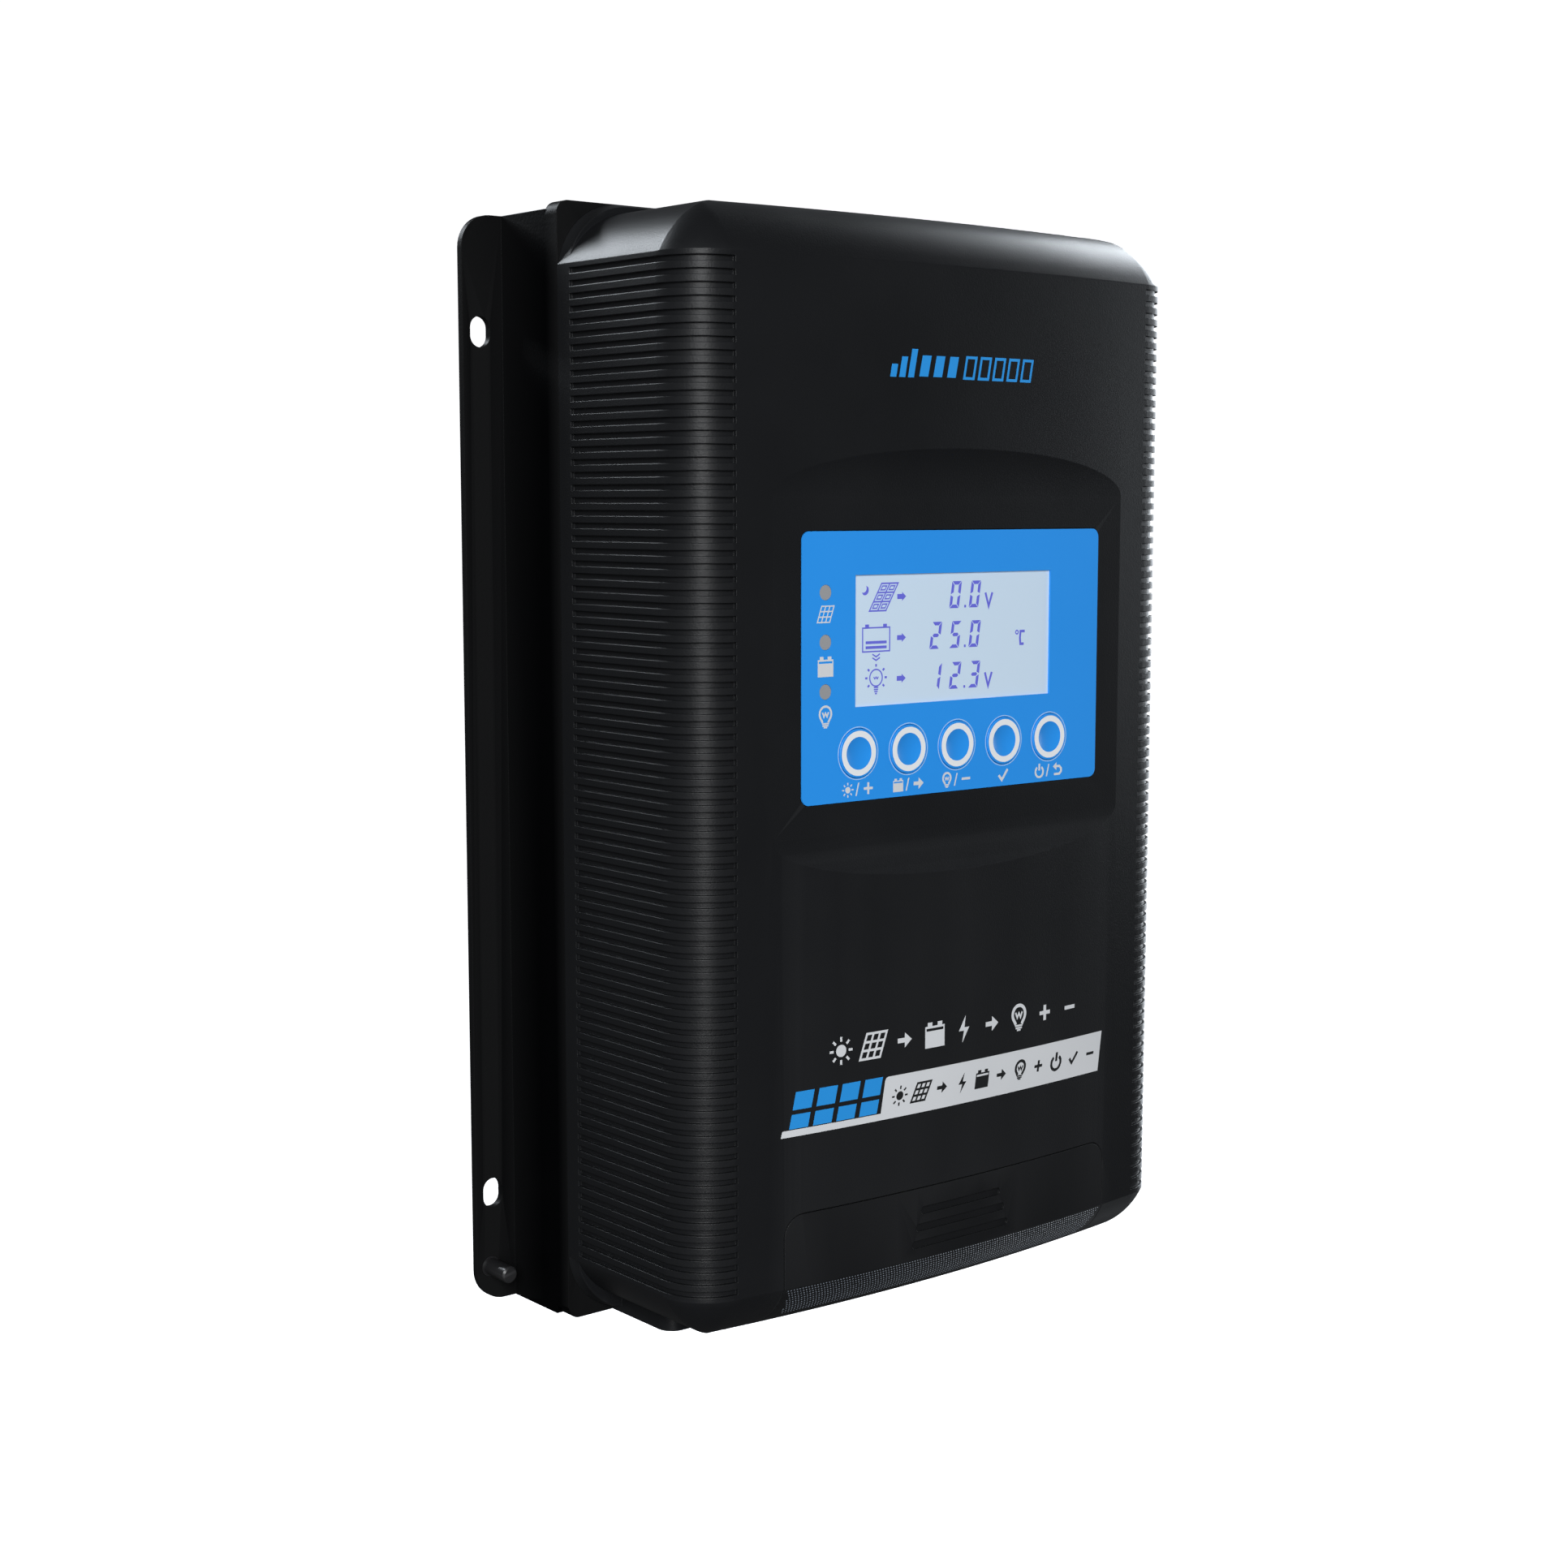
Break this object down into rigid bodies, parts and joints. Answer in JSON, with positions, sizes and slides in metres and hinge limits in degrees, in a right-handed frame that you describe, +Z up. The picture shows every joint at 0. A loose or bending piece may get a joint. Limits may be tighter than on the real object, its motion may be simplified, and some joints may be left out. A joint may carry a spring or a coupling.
{
  "type": "solar charge controller",
  "caption": "Wall-mounted solar charge controller with a bulged plastic case on a finned heat sink, display, push buttons and covered screw terminals.",
  "frame": {"origin": "middle of the four mounting slots, on the wall plane that the heat sink stands against", "axes": "+X right seen from the front, +Y into the wall, +Z up"},
  "size_m": [0.17, 0.0768, 0.254],
  "materials": {
    "charcoal_plastic": "moulded, fine matt grain",
    "charcoal_aluminium": "charcoal powder coat on extruded aluminium",
    "steel": "zinc plated",
    "overlay": "blue printed film, satin gloss",
    "lcd": "pale blue-grey display glass",
    "white_plastic": "white, diffusing",
    "light_pipe": "moulded clear",
    "button_blue": "satin blue, with a white ring on the top",
    "board_green": "green solder mask",
    "black_epoxy": "moulded epoxy",
    "pad_grey": "soft heat-transfer pad",
    "core_yellow": "painted powder core",
    "enamelled_copper": "enamelled copper wire",
    "capacitor_sleeve": "black sleeve",
    "manganin": "resistance alloy strip",
    "fuse_plastic": "amber tinted plastic",
    "ribbon_grey": "flat cable",
    "terminal_plastic": "glass-filled nylon",
    "tinned_copper": "tinned copper",
    "cage_steel": "plated steel"
  },
  "bodies": {
    "chassis": {"heat_sink": "charcoal_aluminium", "ground_stud": "steel", "housing": "charcoal_plastic", "housing_screws": "steel", "front_overlay": "overlay", "lcd_glass": "lcd", "lcd_frame": "white_plastic", "backlight_panel": "white_plastic", "led_light_pipes": "light_pipe", "status_leds": "white_plastic", "display_pcb": "board_green", "display_pcb_screws": "steel", "tact_switches": "black_epoxy", "main_pcb": "board_green", "pcb_standoffs": "steel", "pcb_screws": "steel", "insulating_pads": "pad_grey", "power_transistors": "black_epoxy", "clamp_bars": "steel", "clamp_screws": "steel", "inductor_core_left": "core_yellow", "inductor_core_right": "core_yellow", "inductor_winding_left": "enamelled_copper", "inductor_winding_right": "enamelled_copper", "input_capacitors": "capacitor_sleeve", "output_capacitors": "capacitor_sleeve", "current_shunts": "manganin", "fuses": "fuse_plastic", "control_chips": "black_epoxy", "ribbon_headers": "black_epoxy", "display_ribbon": "ribbon_grey", "terminal_block": "terminal_plastic", "contact_bars": "tinned_copper", "comm_socket": "terminal_plastic", "sensor_socket": "terminal_plastic"},
    "terminal_cover": {"terminal_cover": "charcoal_plastic"},
    "button_panel": {"button_panel": "button_blue", "button_panel_plunger": "button_blue"},
    "button_battery": {"button_battery": "button_blue", "button_battery_plunger": "button_blue"},
    "button_load": {"button_load": "button_blue", "button_load_plunger": "button_blue"},
    "button_set": {"button_set": "button_blue", "button_set_plunger": "button_blue"},
    "button_back": {"button_back": "button_blue", "button_back_plunger": "button_blue"},
    "terminal_screw_1": {"terminal_screw_1": "steel"},
    "clamp_cage_1": {"clamp_cage_1": "cage_steel"},
    "terminal_screw_2": {"terminal_screw_2": "steel"},
    "clamp_cage_2": {"clamp_cage_2": "cage_steel"},
    "terminal_screw_3": {"terminal_screw_3": "steel"},
    "clamp_cage_3": {"clamp_cage_3": "cage_steel"},
    "terminal_screw_4": {"terminal_screw_4": "steel"},
    "clamp_cage_4": {"clamp_cage_4": "cage_steel"},
    "terminal_screw_5": {"terminal_screw_5": "steel"},
    "clamp_cage_5": {"clamp_cage_5": "cage_steel"},
    "terminal_screw_6": {"terminal_screw_6": "steel"},
    "clamp_cage_6": {"clamp_cage_6": "cage_steel"}
  },
  "joints": [
    {"name": "terminal_cover_slide", "type": "slide", "parent": "chassis", "child": "terminal_cover", "axis": [0, 0, -1], "range_m": [0, 0.035]},
    {"name": "button_panel_press", "type": "slide", "parent": "chassis", "child": "button_panel", "axis": [0, 1, 0], "range_m": [0, 0.00045], "stiffness_N_per_m": 800, "springref_m": -0.0003},
    {"name": "button_battery_press", "type": "slide", "parent": "chassis", "child": "button_battery", "axis": [0, 1, 0], "range_m": [0, 0.00045], "stiffness_N_per_m": 800, "springref_m": -0.0003},
    {"name": "button_load_press", "type": "slide", "parent": "chassis", "child": "button_load", "axis": [0, 1, 0], "range_m": [0, 0.00045], "stiffness_N_per_m": 800, "springref_m": -0.0003},
    {"name": "button_set_press", "type": "slide", "parent": "chassis", "child": "button_set", "axis": [0, 1, 0], "range_m": [0, 0.00045], "stiffness_N_per_m": 800, "springref_m": -0.0003},
    {"name": "button_back_press", "type": "slide", "parent": "chassis", "child": "button_back", "axis": [0, 1, 0], "range_m": [0, 0.00045], "stiffness_N_per_m": 800, "springref_m": -0.0003},
    {"name": "terminal_screw_1_turn", "type": "hinge", "parent": "chassis", "child": "terminal_screw_1", "pos_m": [-0.03375, -0.064, -0.105], "axis": [0, 1, 0], "range_deg": [0, 3601]},
    {"name": "clamp_cage_1_rise", "type": "slide", "parent": "chassis", "child": "clamp_cage_1", "axis": [0, -1, 0], "range_m": [0, 0.008]},
    {"name": "terminal_screw_2_turn", "type": "hinge", "parent": "chassis", "child": "terminal_screw_2", "pos_m": [-0.02025, -0.064, -0.105], "axis": [0, 1, 0], "range_deg": [0, 3601]},
    {"name": "clamp_cage_2_rise", "type": "slide", "parent": "chassis", "child": "clamp_cage_2", "axis": [0, -1, 0], "range_m": [0, 0.008]},
    {"name": "terminal_screw_3_turn", "type": "hinge", "parent": "chassis", "child": "terminal_screw_3", "pos_m": [-0.00675, -0.064, -0.105], "axis": [0, 1, 0], "range_deg": [0, 3601]},
    {"name": "clamp_cage_3_rise", "type": "slide", "parent": "chassis", "child": "clamp_cage_3", "axis": [0, -1, 0], "range_m": [0, 0.008]},
    {"name": "terminal_screw_4_turn", "type": "hinge", "parent": "chassis", "child": "terminal_screw_4", "pos_m": [0.00675, -0.064, -0.105], "axis": [0, 1, 0], "range_deg": [0, 3601]},
    {"name": "clamp_cage_4_rise", "type": "slide", "parent": "chassis", "child": "clamp_cage_4", "axis": [0, -1, 0], "range_m": [0, 0.008]},
    {"name": "terminal_screw_5_turn", "type": "hinge", "parent": "chassis", "child": "terminal_screw_5", "pos_m": [0.02025, -0.064, -0.105], "axis": [0, 1, 0], "range_deg": [0, 3601]},
    {"name": "clamp_cage_5_rise", "type": "slide", "parent": "chassis", "child": "clamp_cage_5", "axis": [0, -1, 0], "range_m": [0, 0.008]},
    {"name": "terminal_screw_6_turn", "type": "hinge", "parent": "chassis", "child": "terminal_screw_6", "pos_m": [0.03375, -0.064, -0.105], "axis": [0, 1, 0], "range_deg": [0, 3601]},
    {"name": "clamp_cage_6_rise", "type": "slide", "parent": "chassis", "child": "clamp_cage_6", "axis": [0, -1, 0], "range_m": [0, 0.008]}
  ],
  "couplings": [
    {"joint": "terminal_screw_1_turn", "follows": "clamp_cage_1_rise", "rad_per_m": 7854},
    {"joint": "terminal_screw_2_turn", "follows": "clamp_cage_2_rise", "rad_per_m": 7854},
    {"joint": "terminal_screw_3_turn", "follows": "clamp_cage_3_rise", "rad_per_m": 7854},
    {"joint": "terminal_screw_4_turn", "follows": "clamp_cage_4_rise", "rad_per_m": 7854},
    {"joint": "terminal_screw_5_turn", "follows": "clamp_cage_5_rise", "rad_per_m": 7854},
    {"joint": "terminal_screw_6_turn", "follows": "clamp_cage_6_rise", "rad_per_m": 7854}
  ]
}
